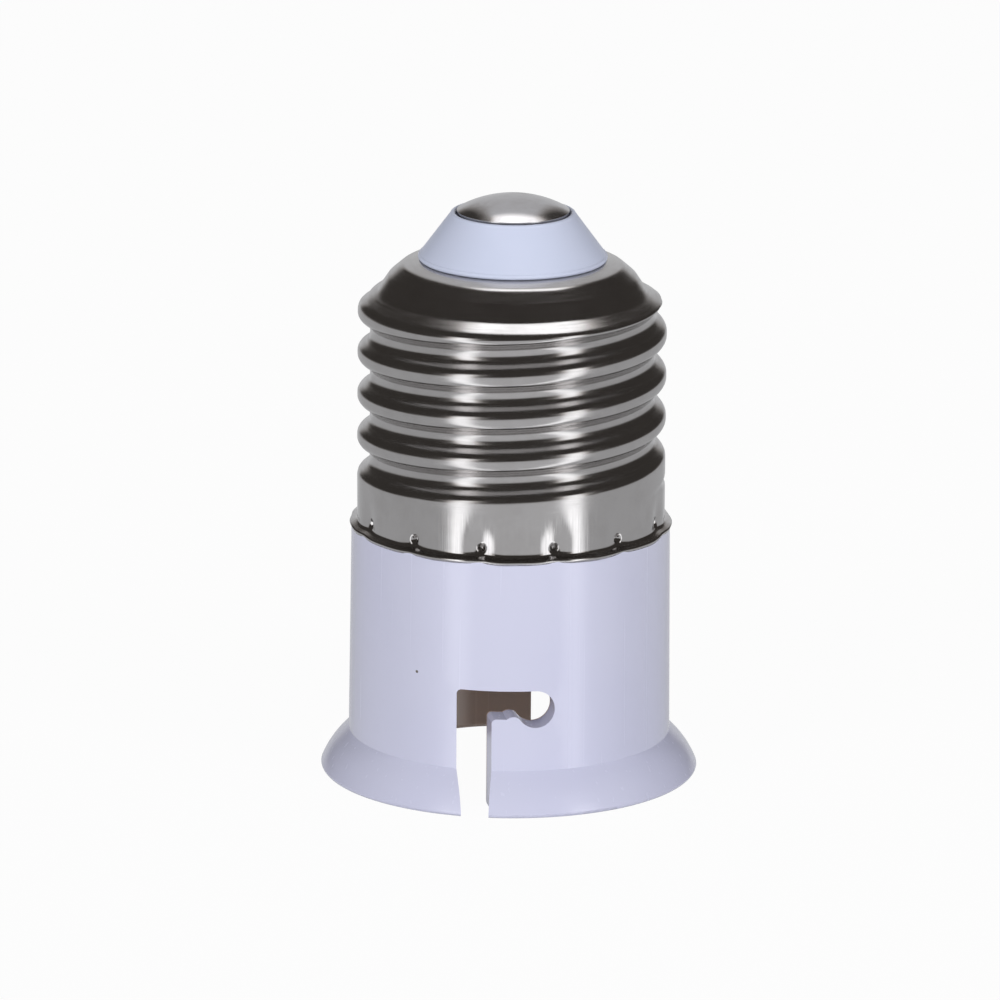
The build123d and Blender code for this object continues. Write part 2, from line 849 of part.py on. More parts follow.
with BuildPart() as shell_lead:
    angle = math.radians(lead_angle)

    def lane(radius, height):
        """Point at the lead's notch, at this radius and height."""
        return (radius * math.cos(angle), radius * math.sin(angle), height)

    with BuildLine() as shell_route:
        FilletPolyline(
            (-contact_place, lead_end, terminal_hole_height),
            (-contact_place, lead_turn, terminal_hole_height),
            lane(lead_lane_radius, lead_crossing),
            lane(lead_groove_radius, lead_crossing),
            lane(lead_groove_radius, lead_end_height),
            radius=lead_bend,
        )
    with BuildSketch(Plane(origin=shell_route.line @ 0, z_dir=shell_route.line % 0)):
        Circle(lead_radius)
    sweep(path=shell_route.line)
shell_lead.part.label = "shell_lead"
export_step(shell_lead.part, "parts/shell_lead.step")


# Solder round each lead where it passes its tag
terminal_arm = tag_reach - tag_sheet / 2
centre_arm = centre_tag_reach - centre_tag_sheet / 2
left_joint = (-contact_place, terminal_arm, terminal_hole_height)
right_joint = (contact_place, -terminal_arm, terminal_hole_height)
centre_joint = (0, -centre_arm, centre_hole_height)
for joint_name, joint_place, tag, lead in (
    ("left", left_joint, terminals["left"], shell_lead),
    ("right", right_joint, terminals["right"], centre_lead),
    ("centre", centre_joint, centre_tag.part, centre_lead),
):
    with BuildPart() as solder:
        with Locations(joint_place):
            Sphere(solder_radius)
        add(tag, mode=Mode.SUBTRACT)
        add(lead.part, mode=Mode.SUBTRACT)
    solder.part.label = f"{joint_name}_solder"
    export_step(solder.part, f"parts/{joint_name}_solder.step")
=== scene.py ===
import math

import bpy
from mathutils import Matrix, Vector


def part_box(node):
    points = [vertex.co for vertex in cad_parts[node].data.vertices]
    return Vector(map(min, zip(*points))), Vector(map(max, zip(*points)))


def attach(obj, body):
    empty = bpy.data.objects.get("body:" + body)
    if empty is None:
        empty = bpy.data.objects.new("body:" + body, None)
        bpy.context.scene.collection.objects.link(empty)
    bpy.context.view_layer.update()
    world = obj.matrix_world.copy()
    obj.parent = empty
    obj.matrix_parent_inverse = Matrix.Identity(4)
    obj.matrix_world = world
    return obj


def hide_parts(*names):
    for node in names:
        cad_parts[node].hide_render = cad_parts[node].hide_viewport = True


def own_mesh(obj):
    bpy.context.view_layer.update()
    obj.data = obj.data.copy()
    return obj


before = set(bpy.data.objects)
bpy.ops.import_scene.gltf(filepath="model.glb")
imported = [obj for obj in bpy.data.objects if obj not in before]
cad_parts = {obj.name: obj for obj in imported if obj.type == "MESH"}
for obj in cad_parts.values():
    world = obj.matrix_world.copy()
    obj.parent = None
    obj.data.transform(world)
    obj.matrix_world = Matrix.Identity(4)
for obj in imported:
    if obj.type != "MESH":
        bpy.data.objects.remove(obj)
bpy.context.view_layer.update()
MM = 0.001


# Body: one white thermoplastic moulding with the bayonet socket, the flared rim and the neck.
# It is glossy from a polished mould, with drag lines from ejection and a few dark specks in
# the plastic. Its inside, nearer the axis than the bore's wall, is painted warm brown: painted
# shade with a warm painted glow of light through the plastic. The screw shell is staked to its
# shoulder.
body_colour = (0.71, 0.72, 0.90)
body_shade = (0.685, 0.695, 0.885)
body_clouds = 60.0
body_roughness = (0.20, 0.28)
gloss_weight = 0.7
gloss_roughness = 0.14
speck_colour = (0.16, 0.14, 0.13)
speck_cells_per_mm = 0.2
speck_size = 0.05
speck_share = 0.35
# Painted shade: the warm brown painted on the body's inside, and the radii over which it fades out
bore_painted_shade = (0.70, 0.51, 0.41)
bore_shade_radius = 11.3 * MM
bore_shade_end = 11.45 * MM
drag_lines_per_mm = 2.2
drag_line_share = 0.3
drag_line_squeeze = (1.0, 1.0, 0.004)
skin_waves_per_mm = 0.3
skin_depth = 0.004 * MM


def node(tree, kind, settings=None, **inputs):
    """New node of this kind, with its properties set and its inputs set or linked by name."""
    made = tree.nodes.new(kind)
    for name, value in (settings or {}).items():
        setattr(made, name, value)
    for name, value in inputs.items():
        connect(tree, made.inputs[name.replace("_", " ")], value)
    return made


def connect(tree, socket, value):
    """Links another node's output to this socket, or sets the socket's own value."""
    if isinstance(value, bpy.types.NodeSocket):
        tree.links.new(value, socket)
    else:
        socket.default_value = value


def maths(tree, operation, *values):
    """Output of a Math node on these values or sockets."""
    made = tree.nodes.new("ShaderNodeMath")
    made.operation = operation
    for socket, value in zip(made.inputs, values):
        connect(tree, socket, value)
    return made.outputs[0]


def remap(tree, value, low, high, to_low=0.0, to_high=1.0):
    """The value mapped smoothly and clamped from one range to another."""
    made = node(
        tree,
        "ShaderNodeMapRange",
        {"interpolation_type": "SMOOTHSTEP"},
        Value=value,
        From_Min=low,
        From_Max=high,
        To_Min=to_low,
        To_Max=to_high,
    )
    return made.outputs["Result"]


def tint(tree, share, first, second):
    """The first colour turning into the second as the share goes from 0 to 1."""
    made = node(tree, "ShaderNodeMix", {"data_type": "RGBA"})
    connect(tree, made.inputs["Factor"], share)
    for name, value in (("A", first), ("B", second)):
        socket = next(s for s in made.inputs if s.name == name and s.type == "RGBA")
        connect(tree, socket, (*value, 1.0) if isinstance(value, tuple) else value)
    return next(s for s in made.outputs if s.type == "RGBA")


def place_of(tree):
    """Object coordinates, which are the part's own frame in metres."""
    return tree.nodes.new("ShaderNodeTexCoord").outputs["Object"]


def noise(tree, vector, scale, detail=2.0, roughness=0.5):
    """Value of a noise texture at this place."""
    made = node(
        tree,
        "ShaderNodeTexNoise",
        Vector=vector,
        Scale=scale,
        Detail=detail,
        Roughness=roughness,
    )
    return made.outputs[0]


def clouds(tree, scale):
    """Share that drifts between 0 and 1 over the surface."""
    return remap(tree, noise(tree, place_of(tree), scale), 0.35, 0.65)


def new_group(name, inputs, outputs):
    """Empty shader group with these inputs, each with its default, and these outputs."""
    tree = bpy.data.node_groups.new(name, "ShaderNodeTree")
    for label, value in inputs.items():
        kind = "NodeSocketColor" if isinstance(value, tuple) else "NodeSocketFloat"
        socket = tree.interface.new_socket(name=label, in_out="INPUT", socket_type=kind)
        socket.default_value = (*value, 1.0) if isinstance(value, tuple) else value
    for label, kind in outputs.items():
        tree.interface.new_socket(name=label, in_out="OUTPUT", socket_type=kind)
    return tree, tree.nodes.new("NodeGroupInput"), tree.nodes.new("NodeGroupOutput")


def use_group(tree, group, **inputs):
    """The group placed in a material, with its own values."""
    made = tree.nodes.new("ShaderNodeGroup")
    made.node_tree = group
    for name, value in inputs.items():
        connect(tree, made.inputs[name.replace("_", " ")], value)
    return made


def new_material(name, **fixed):
    """Material with its Principled shader, whose constant values are set on its own sockets."""
    material = bpy.data.materials.new(name)
    material.use_nodes = True
    shader = material.node_tree.nodes["Principled BSDF"]
    for label, value in fixed.items():
        socket = shader.inputs[label.replace("_", " ")]
        socket.default_value = (*value, 1.0) if isinstance(value, tuple) else value
    return material, material.node_tree, shader


def bump(tree, shader, height, distance):
    """Lets a height that changes over the surface tilt the shader's normal."""
    made = node(tree, "ShaderNodeBump", Strength=1.0, Distance=distance, Height=height)
    connect(tree, shader.inputs["Normal"], made.outputs["Normal"])


def dress(name, material):
    """Gives a CAD node its material."""
    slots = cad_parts[name].data.materials
    slots.clear()
    slots.append(material)


# Moulded skin: a soft unevenness of the whole surface, with fine lines along the axis
moulded_skin, skin_in, skin_out = new_group(
    "moulded skin",
    {"Waves per mm": 0.25, "Lines per mm": 2.0, "Line share": 0.5},
    {"Height": "NodeSocketFloat", "Lines": "NodeSocketFloat"},
)
skin_place = place_of(moulded_skin)
skin_scale = maths(moulded_skin, "DIVIDE", skin_in.outputs["Waves per mm"], MM)
line_scale = maths(moulded_skin, "DIVIDE", skin_in.outputs["Lines per mm"], MM)
flat_place = node(moulded_skin, "ShaderNodeVectorMath", {"operation": "MULTIPLY"})
connect(moulded_skin, flat_place.inputs[0], skin_place)
connect(moulded_skin, flat_place.inputs[1], drag_line_squeeze)
skin_lines = noise(moulded_skin, flat_place.outputs[0], line_scale, 1.0)
skin_waves = noise(moulded_skin, skin_place, skin_scale, 2.0)
line_height = maths(moulded_skin, "MULTIPLY", skin_lines, skin_in.outputs["Line share"])
connect(moulded_skin, skin_out.inputs["Height"], maths(moulded_skin, "ADD", skin_waves, line_height))
connect(moulded_skin, skin_out.inputs["Lines"], skin_lines)

# Specks: tiny dark grains, scattered through the plastic
specks, specks_in, specks_out = new_group(
    "specks",
    {"Cells per mm": 0.22, "Size": 0.06, "Share": 0.25},
    {"Mask": "NodeSocketFloat"},
)
speck_cells = node(
    specks,
    "ShaderNodeTexVoronoi",
    Vector=place_of(specks),
    Scale=maths(specks, "DIVIDE", specks_in.outputs["Cells per mm"], MM),
)
speck_pick = node(specks, "ShaderNodeSeparateColor", Color=speck_cells.outputs["Color"])
speck_near = maths(specks, "LESS_THAN", speck_cells.outputs["Distance"], specks_in.outputs["Size"])
speck_kept = maths(specks, "LESS_THAN", speck_pick.outputs["Red"], specks_in.outputs["Share"])
connect(specks, specks_out.inputs["Mask"], maths(specks, "MULTIPLY", speck_near, speck_kept))

white_moulding, tree, shader = new_material(
    "white_moulding",
    Metallic=0.0,
    IOR=1.5,
    Coat_Weight=gloss_weight,
    Coat_Roughness=gloss_roughness,
)
skin = use_group(
    tree,
    moulded_skin,
    Waves_per_mm=skin_waves_per_mm,
    Lines_per_mm=drag_lines_per_mm,
    Line_share=drag_line_share,
)
plain = tint(tree, clouds(tree, body_clouds), body_colour, body_shade)
dirt = use_group(
    tree,
    specks,
    Cells_per_mm=speck_cells_per_mm,
    Size=speck_size,
    Share=speck_share,
)
spotted = tint(tree, dirt.outputs["Mask"], plain, speck_colour)
split = node(tree, "ShaderNodeSeparateXYZ", Vector=place_of(tree))
square = maths(tree, "MULTIPLY", split.outputs["X"], split.outputs["X"])
square = maths(tree, "ADD", square, maths(tree, "MULTIPLY", split.outputs["Y"], split.outputs["Y"]))
off_axis = maths(tree, "SQRT", square)
# Painted shade: the body is painted warm brown inside the bore's radius, for its shaded inner wall
bore_shade_share = remap(tree, off_axis, bore_shade_radius, bore_shade_end, 1.0, 0.0)
connect(tree, shader.inputs["Base Color"], tint(tree, bore_shade_share, spotted, bore_painted_shade))
body_spread = remap(tree, skin.outputs["Lines"], 0.2, 0.8, *body_roughness)
connect(tree, shader.inputs["Roughness"], body_spread)
bump(tree, shader, skin.outputs["Height"], skin_depth)
dress("body", white_moulding)


# Contact carrier: a block of dark phenolic moulding that carries both contacts, held under the
# body's floor by two screws. Its filler shows as a fine mottle.
carrier_colour = (0.055, 0.032, 0.020)
carrier_light = (0.095, 0.058, 0.036)
carrier_mottle = 1800.0
carrier_roughness = (0.42, 0.58)
carrier_depth = 0.01 * MM

carrier_moulding, tree, shader = new_material("carrier_moulding", Metallic=0.0, IOR=1.55)
mottle = remap(tree, noise(tree, place_of(tree), carrier_mottle, 3.0, 0.6), 0.4, 0.7)
connect(tree, shader.inputs["Base Color"], tint(tree, mottle, carrier_colour, carrier_light))
connect(tree, shader.inputs["Roughness"], remap(tree, mottle, 0.0, 1.0, *carrier_roughness))
skin = use_group(tree, moulded_skin, Waves_per_mm=1.2, Lines_per_mm=1.0, Line_share=0.1)
bump(tree, shader, skin.outputs["Height"], carrier_depth)
dress("contact_carrier", carrier_moulding)


# Sleeves, plungers and terminals: turned, drawn and stamped brass. The sleeves are rolled in
# over the plungers' collars, and their spigots are headed over the terminals.
brass_colour = (0.62, 0.43, 0.16)
brass_dull = (0.36, 0.23, 0.09)
ring_squeeze = 0.04
patch_scale = 420.0
tarnish_roughness = 0.3

# Metal wear: tool marks round the axis, with a mottle of handling and tarnish
metal_wear, wear_in, wear_out = new_group(
    "metal wear",
    {"Bright": (0.6, 0.6, 0.6), "Dull": (0.4, 0.4, 0.4), "Marks per mm": 6.0, "Mottle": 0.5},
    {
        "Colour": "NodeSocketColor",
        "Marks": "NodeSocketFloat",
        "Tarnish": "NodeSocketFloat",
    },
)
wear_place = place_of(metal_wear)
wear_split = node(metal_wear, "ShaderNodeSeparateXYZ", Vector=wear_place)
wear_rings = node(
    metal_wear,
    "ShaderNodeCombineXYZ",
    X=maths(metal_wear, "MULTIPLY", wear_split.outputs["X"], ring_squeeze),
    Y=maths(metal_wear, "MULTIPLY", wear_split.outputs["Y"], ring_squeeze),
    Z=wear_split.outputs["Z"],
)
wear_scale = maths(metal_wear, "DIVIDE", wear_in.outputs["Marks per mm"], MM)
wear_marks = noise(metal_wear, wear_rings.outputs[0], wear_scale, 2.0)
wear_patches = remap(metal_wear, noise(metal_wear, wear_place, patch_scale, 4.0, 0.6), 0.35, 0.75)
wear_tarnish = maths(metal_wear, "MULTIPLY", wear_patches, wear_in.outputs["Mottle"])
connect(
    metal_wear,
    wear_out.inputs["Colour"],
    tint(metal_wear, wear_tarnish, wear_in.outputs["Bright"], wear_in.outputs["Dull"]),
)
connect(metal_wear, wear_out.inputs["Marks"], wear_marks)
connect(metal_wear, wear_out.inputs["Tarnish"], wear_tarnish)


def wear_of(tree, bright, dull, marks, mottle):
    """Wear with tool marks of this many to the millimetre, and this much tarnish."""
    return use_group(
        tree,
        metal_wear,
        Bright=(*bright, 1.0),
        Dull=(*dull, 1.0),
        Marks_per_mm=marks,
        Mottle=mottle,
    )


def worn_metal(name, bright, dull, marks, mottle, roughness, depth):
    """Metal with this wear, rougher where it is tarnished, and marks of this depth."""
    material, tree, shader = new_material(name, Metallic=1.0)
    wear = wear_of(tree, bright, dull, marks, mottle)
    connect(tree, shader.inputs["Base Color"], wear.outputs["Colour"])
    rough_end = roughness + tarnish_roughness
    spread = remap(tree, wear.outputs["Tarnish"], 0.0, 1.0, roughness, rough_end)
    connect(tree, shader.inputs["Roughness"], spread)
    bump(tree, shader, wear.outputs["Marks"], depth)
    return material


brass = worn_metal(
    "brass",
    brass_colour,
    brass_dull,
    marks=5.0,
    mottle=0.5,
    roughness=0.24,
    depth=0.004 * MM,
)
tag_brass = worn_metal(
    "tag_brass",
    brass_colour,
    brass_dull,
    marks=1.2,
    mottle=0.8,
    roughness=0.34,
    depth=0.004 * MM,
)
for side in ("left", "right"):
    dress(f"{side}_sleeve", brass)
    dress(f"{side}_plunger", brass)
    dress(f"{side}_terminal", tag_brass)
dress("centre_tag", tag_brass)


# Springs: hard drawn steel wire, coiled, with a brown temper tint. Each one sits between the
# plunger's collar and the sleeve's end and pushes the plunger down.
spring_wire = 0.4 * MM
spring_turns = 5.0
spring_steps_per_turn = 32
wire_sides = 14
spring_colour = (0.42, 0.42, 0.43)
spring_tint = (0.26, 0.20, 0.14)

spring_steel = worn_metal(
    "spring_steel",
    spring_colour,
    spring_tint,
    marks=0.8,
    mottle=0.6,
    roughness=0.25,
    depth=0.002 * MM,
)


def new_tree(name, inputs):
    """Geometry tree with a mesh in, named sizes in and a mesh out."""
    tree = bpy.data.node_groups.new(name, "GeometryNodeTree")
    geometry = "NodeSocketGeometry"
    tree.interface.new_socket(name="Geometry", in_out="INPUT", socket_type=geometry)
    for label, value in inputs.items():
        if isinstance(value, bpy.types.Material):
            kind = "NodeSocketMaterial"
        elif isinstance(value, int):
            kind = "NodeSocketInt"
        else:
            kind = "NodeSocketFloat"
        tree.interface.new_socket(name=label, in_out="INPUT", socket_type=kind)
    tree.interface.new_socket(name="Geometry", in_out="OUTPUT", socket_type=geometry)
    return tree, tree.nodes.new("NodeGroupInput").outputs, tree.nodes.new("NodeGroupOutput")


def close_tree(tree, result, mesh, material):
    """Ends the tree: smooth faces, real geometry and this material."""
    smooth = node(tree, "GeometryNodeSetShadeSmooth", Geometry=mesh)
    real = node(tree, "GeometryNodeRealizeInstances", Geometry=smooth.outputs[0])
    coated = node(tree, "GeometryNodeSetMaterial", Geometry=real.outputs[0], Material=material)
    connect(tree, result.inputs["Geometry"], coated.outputs[0])


def bake(name, mesh, tree, inputs):
    """Runs the tree on the mesh with these sizes, and returns the result as a plain piece."""
    carrier = bpy.data.objects.new(name, mesh)
    bpy.context.scene.collection.objects.link(carrier)
    modifier = carrier.modifiers.new(name, "NODES")
    modifier.node_group = tree
    for item in tree.interface.items_tree:
        if item.item_type == "SOCKET" and item.in_out == "INPUT" and item.name in inputs:
            modifier[item.identifier] = inputs[item.name]
    depsgraph = bpy.context.evaluated_depsgraph_get()
    result = bpy.data.meshes.new_from_object(
        carrier.evaluated_get(depsgraph),
        preserve_all_data_layers=False,
        depsgraph=depsgraph,
    )
    carrier.modifiers.remove(modifier)
    carrier.data = result
    result.name = name
    return carrier


spring_sizes = {
    "Turns": spring_turns,
    "Radius": 0.0,
    "Wire": spring_wire,
    "Length": 0.0,
    "Place": 0.0,
    "Foot": 0.0,
    "Material": spring_steel,
}
tree, sizes, result = new_tree("wound spring", spring_sizes)
spiral = node(
    tree,
    "GeometryNodeCurveSpiral",
    Resolution=spring_steps_per_turn,
    Rotations=sizes["Turns"],
    Start_Radius=sizes["Radius"],
    End_Radius=sizes["Radius"],
    Height=sizes["Length"],
    Reverse=True,
)
section = node(
    tree,
    "GeometryNodeCurvePrimitiveCircle",
    Resolution=wire_sides,
    Radius=maths(tree, "DIVIDE", sizes["Wire"], 2.0),
)
wound = node(
    tree,
    "GeometryNodeCurveToMesh",
    Curve=spiral.outputs[0],
    Profile_Curve=section.outputs[0],
    Fill_Caps=True,
)
stand = node(tree, "ShaderNodeCombineXYZ", X=sizes["Place"], Z=sizes["Foot"])
stood = node(
    tree,
    "GeometryNodeTransform",
    Geometry=wound.outputs[0],
    Translation=stand.outputs[0],
)
close_tree(tree, result, stood.outputs[0], sizes["Material"])

for side in ("left", "right"):
    coil_low, coil_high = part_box(f"{side}_spring")
    spring_sizes["Radius"] = (coil_high.y - coil_low.y - spring_wire) / 2
    spring_sizes["Length"] = coil_high.z - coil_low.z - spring_wire
    spring_sizes["Place"] = (coil_low.x + coil_high.x) / 2
    spring_sizes["Foot"] = coil_low.z + spring_wire / 2
    start_mesh = bpy.data.meshes.new(f"{side}_coil")
    coil = bake(f"{side}_coil", start_mesh, tree, spring_sizes)
    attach(coil, "housing")
    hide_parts(f"{side}_spring")
    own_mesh(coil)


# Screws: zinc plated steel, slotted, driven through the carrier into the body's floor.
screw_colour = (0.50, 0.51, 0.52)
screw_dull = (0.30, 0.30, 0.29)

screw_steel = worn_metal(
    "screw_steel",
    screw_colour,
    screw_dull,
    marks=4.0,
    mottle=0.7,
    roughness=0.32,
    depth=0.004 * MM,
)
for end in ("front", "rear"):
    dress(f"{end}_screw", screw_steel)


# Leads: tinned copper wire from each terminal to the centre tag and to the screw shell. Soft
# solder holds their ends in the tags' holes.
tin_colour = (0.52, 0.51, 0.50)
tin_dull = (0.34, 0.33, 0.32)
solder_colour = (0.44, 0.45, 0.47)
solder_dull = (0.26, 0.26, 0.27)

tinned_wire = worn_metal(
    "tinned_wire",
    tin_colour,
    tin_dull,
    marks=1.0,
    mottle=0.6,
    roughness=0.3,
    depth=0.006 * MM,
)
solder = worn_metal(
    "solder",
    solder_colour,
    solder_dull,
    marks=2.0,
    mottle=0.9,
    roughness=0.35,
    depth=0.02 * MM,
)
dress("centre_lead", tinned_wire)
dress("shell_lead", tinned_wire)
for joint in ("left", "right", "centre"):
    dress(f"{joint}_solder", solder)


# Screw shell: a cup of 0.3 mm sheet, drawn, rolled with a round thread and nickel plated. Its
# lower edge is staked into the body by punch marks, which dent the sheet round them and leave
# the hem between them hanging a little lower.
shell_low, shell_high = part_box("screw_shell")
shell_top = shell_high.z
sheet = 0.3 * MM
hem_radius = shell_high.x
skirt_radius = 13.07 * MM
smallest_bend = 0.05 * MM
crest_radius = 13.1 * MM
thread_depth = 1.1 * MM
thread_pitch = 3.629 * MM
groove_height = 27.331 * MM
groove_turn = -189.5
run_out_turn = 230.0
run_out_lift = 1.18 * MM
thread_blend = 0.04 * MM
shoulder_blend = 0.16 * MM
shoulder_span = 1.0 * MM
stake_count = 13
stake_turn = -110.6
stake_height = shell_low.z + 0.85 * MM
halo_squeeze = 0.55
halo_falloff = -2.0
hem_fade = 0.6 * MM
hem_noise_ring = 3.0
rolling_noise_ring = 4.0
rolling_noise_rise = 300.0
columns_per_stake = 36
column_crowding = 0.085
row_step = 0.18 * MM
inner_row_step = 0.55 * MM
weld_distance = 0.002 * MM

# Outline of the drawn cup from the hem to the hole: each corner's radius, its height and the
# radius of its bend. Two of the corners are hollow, seen from outside.
cup_corners = [
    (hem_radius, shell_low.z, 0.0),
    (skirt_radius, shell_low.z + 0.28 * MM, 0.2 * MM),
    (skirt_radius, shell_top - 3.7 * MM, 1.0 * MM),
    (11.35 * MM, shell_top - 2.73 * MM, 0.7 * MM),
    (10.5 * MM, shell_top - 1.45 * MM, 0.8 * MM),
    (9.35 * MM, shell_top - 0.46 * MM, 1.3 * MM),
    (7.8 * MM, shell_top + 0.04 * MM, 0.0),
]
hollow_corners = (1, 3)


def straight_run(points, end, step):
    """Adds points at most a step apart from the last point to this end."""
    start = points[-1]
    pieces = max(1, math.ceil((end - start).length / step))
    for piece in range(1, pieces + 1):
        points.append(start.lerp(end, piece / pieces))


def cup_line(corners, step):
    """Points at most a step apart along the corners' run, with each bend as an arc."""
    spots = [Vector(corner[:2]) for corner in corners]
    points = [spots[0]]
    for index in range(1, len(spots) - 1):
        before = (spots[index - 1] - spots[index]).normalized()
        after = (spots[index + 1] - spots[index]).normalized()
        half = before.angle(after) / 2
        radius = corners[index][2]
        reach = radius / math.tan(half)
        start = spots[index] + before * reach
        end = spots[index] + after * reach
        centre = spots[index] + (before + after).normalized() * (radius / math.sin(half))
        side = (start - centre).angle_signed(end - centre)
        straight_run(points, start, step)
        count = max(2, math.ceil(radius * (math.pi - 2 * half) / step))
        for piece in range(1, count + 1):
            spoke = Matrix.Rotation(-side * piece / count, 2) @ (start - centre)
            points.append(centre + spoke)
    straight_run(points, spots[-1], step)
    return points


def inner_corners(corners):
    """The same corners on the inside of the sheet, with their bends changed to match."""
    moved = []
    lines = []
    for start, end in zip(corners, corners[1:]):
        way = (Vector(end[:2]) - Vector(start[:2])).normalized()
        lines.append((Vector(start[:2]) + Vector((-way.y, way.x)) * sheet, way))
    for index, corner in enumerate(corners):
        if index == 0:
            spot = lines[0][0]
        elif index == len(lines):
            last_run = (Vector(corner[:2]) - Vector(corners[-2][:2])).length
            spot = lines[-1][0] + lines[-1][1] * last_run
        else:
            (here, way), (there, onward) = lines[index - 1], lines[index]
            gap = there - here
            cross = way.x * onward.y - way.y * onward.x
            spot = here + way * ((gap.x * onward.y - gap.y * onward.x) / cross)
        bend = 0.0
        if corner[2]:
            bend = corner[2] + (sheet if index in hollow_corners else -sheet)
            bend = max(bend, smallest_bend)
        moved.append((spot.x, spot.y, bend))
    return moved


outer_line = cup_line(cup_corners, row_step)
inner_line = cup_line(inner_corners(cup_corners), inner_row_step)
outline = [(point, 0.0) for point in outer_line]
outline += [(point, sheet) for point in reversed(inner_line)]
outline.append(outline[0])

# The outline goes into the tree as a mesh whose points say on which side of the sheet they lie
outline_mesh = bpy.data.meshes.new("shell_outline")
outline_mesh.from_pydata(
    [(point.x, 0.0, point.y) for point, _ in outline],
    [(i, i + 1) for i in range(len(outline) - 1)],
    [],
)
inward_layer = outline_mesh.attributes.new("inward", "FLOAT", "POINT")
inward_layer.data.foreach_set("value", [inward for _, inward in outline])


# Nickel: satin plate with brushing along the axis on the skirt and rolling lines on the thread
nickel_colour = (0.60, 0.585, 0.58)
nickel_dull = (0.48, 0.46, 0.45)
nickel_marks_per_mm = 9.0
nickel_mottle = 0.35
mark_roughness = (0.12, 0.24)
brush_roughness = (-0.05, 0.1)
brush_scale = 7000.0
brush_squeeze = 0.02
brush_strength = 2.5
brush_top = shell_low.z + 3.0 * MM
brush_end = shell_low.z + 4.5 * MM
nickel_depth = 0.0012 * MM

nickel_sheet, tree, shader = new_material("nickel_sheet", Metallic=1.0)
split = node(tree, "ShaderNodeSeparateXYZ", Vector=place_of(tree))
brush_place = node(
    tree,
    "ShaderNodeCombineXYZ",
    X=split.outputs["X"],
    Y=split.outputs["Y"],
    Z=maths(tree, "MULTIPLY", split.outputs["Z"], brush_squeeze),
)
brushing = noise(tree, brush_place.outputs[0], brush_scale, 2.0, 0.6)
skirt_share = remap(tree, split.outputs["Z"], brush_top, brush_end, 1.0, 0.0)
thread_share = maths(tree, "SUBTRACT", 1.0, skirt_share)
wear = wear_of(tree, nickel_colour, nickel_dull, nickel_marks_per_mm, nickel_mottle)
connect(tree, shader.inputs["Base Color"], wear.outputs["Colour"])
thread_marks = maths(tree, "MULTIPLY", wear.outputs["Marks"], thread_share)
thread_spread = remap(tree, thread_marks, 0.0, 0.8, *mark_roughness)
brush_spread = remap(tree, brushing, 0.3, 0.7, *brush_roughness)
brush_spread = maths(tree, "MULTIPLY", brush_spread, skirt_share)
connect(tree, shader.inputs["Roughness"], maths(tree, "ADD", brush_spread, thread_spread))
brush_weight = maths(tree, "MULTIPLY", skirt_share, brush_strength)
brush_marks = maths(tree, "MULTIPLY", brushing, brush_weight)
bump(tree, shader, maths(tree, "ADD", brush_marks, thread_marks), nickel_depth)

shell_sizes = {
    "Rows": len(outline),
    "Columns": stake_count * columns_per_stake + 1,
    "Pitch": thread_pitch,
    "Depth": thread_depth,
    "Crest radius": crest_radius,
    "Groove height": groove_height,
    "Groove turn": groove_turn,
    "Run-out turn": run_out_turn,
    "Run-out lift": run_out_lift,
    "Stakes": stake_count,
    "Stake turn": stake_turn,
    "Stake height": stake_height,
    "Stake depth": 0.55 * MM,
    "Stake radius": 0.42 * MM,
    "Halo depth": 0.24 * MM,
    "Halo radius": 1.5 * MM,
    "Hem drop": 0.08 * MM,
    "Hem height": shell_low.z,
    "Shoulder height": shell_top - 5.0 * MM,
    "Unevenness": 0.02 * MM,
    "Seed": 7,
    "Material": nickel_sheet,
}
tree, sizes, result = new_tree("rolled screw shell", shell_sizes)


def squared(value):
    """The square of this value in the shell's tree."""
    return maths(tree, "POWER", value, 2.0)


def outline_sample(kind, value):
    """What this value is at the outline's point of the same row."""
    sampled = node(tree, "GeometryNodeSampleIndex", {"data_type": kind, "domain": "POINT"})
    connect(tree, sampled.inputs["Geometry"], sizes["Geometry"])
    connect(tree, sampled.inputs["Value"], value)
    connect(tree, sampled.inputs["Index"], row)
    return sampled.outputs[0]


grid = node(
    tree,
    "GeometryNodeMeshGrid",
    Vertices_X=sizes["Columns"],
    Vertices_Y=sizes["Rows"],
)
index = tree.nodes.new("GeometryNodeInputIndex").outputs[0]
column = maths(tree, "DIVIDE", maths(tree, "ADD", index, 0.5), sizes["Rows"])
column = maths(tree, "FLOOR", column)
row = maths(tree, "SUBTRACT", index, maths(tree, "MULTIPLY", column, sizes["Rows"]))

own_place = tree.nodes.new("GeometryNodeInputPosition").outputs[0]
outline_place = outline_sample("FLOAT_VECTOR", own_place)
line = node(tree, "ShaderNodeSeparateXYZ", Vector=outline_place)
radius = line.outputs["X"]
height = line.outputs["Z"]
named = node(tree, "GeometryNodeInputNamedAttribute", {"data_type": "FLOAT"}, Name="inward")
inward = outline_sample("FLOAT", named.outputs["Attribute"])

# Columns crowd towards the stakes, where the sheet has its finest detail
sector = maths(tree, "DIVIDE", 360.0, sizes["Stakes"])
sectors = maths(tree, "DIVIDE", column, columns_per_stake)
near_stake = maths(tree, "SUBTRACT", sectors, maths(tree, "ROUND", sectors))
stake_wave = maths(tree, "MULTIPLY", near_stake, math.tau)
crowd = maths(tree, "MULTIPLY", maths(tree, "SINE", stake_wave), column_crowding)
off_stake = maths(tree, "MULTIPLY", maths(tree, "SUBTRACT", near_stake, crowd), sector)
whole = maths(tree, "MULTIPLY", maths(tree, "ROUND", sectors), sector)
turn = maths(tree, "ADD", maths(tree, "ADD", whole, off_stake), sizes["Stake turn"])
angle = maths(tree, "RADIANS", turn)
cosine = maths(tree, "COSINE", angle)
sine = maths(tree, "SINE", angle)

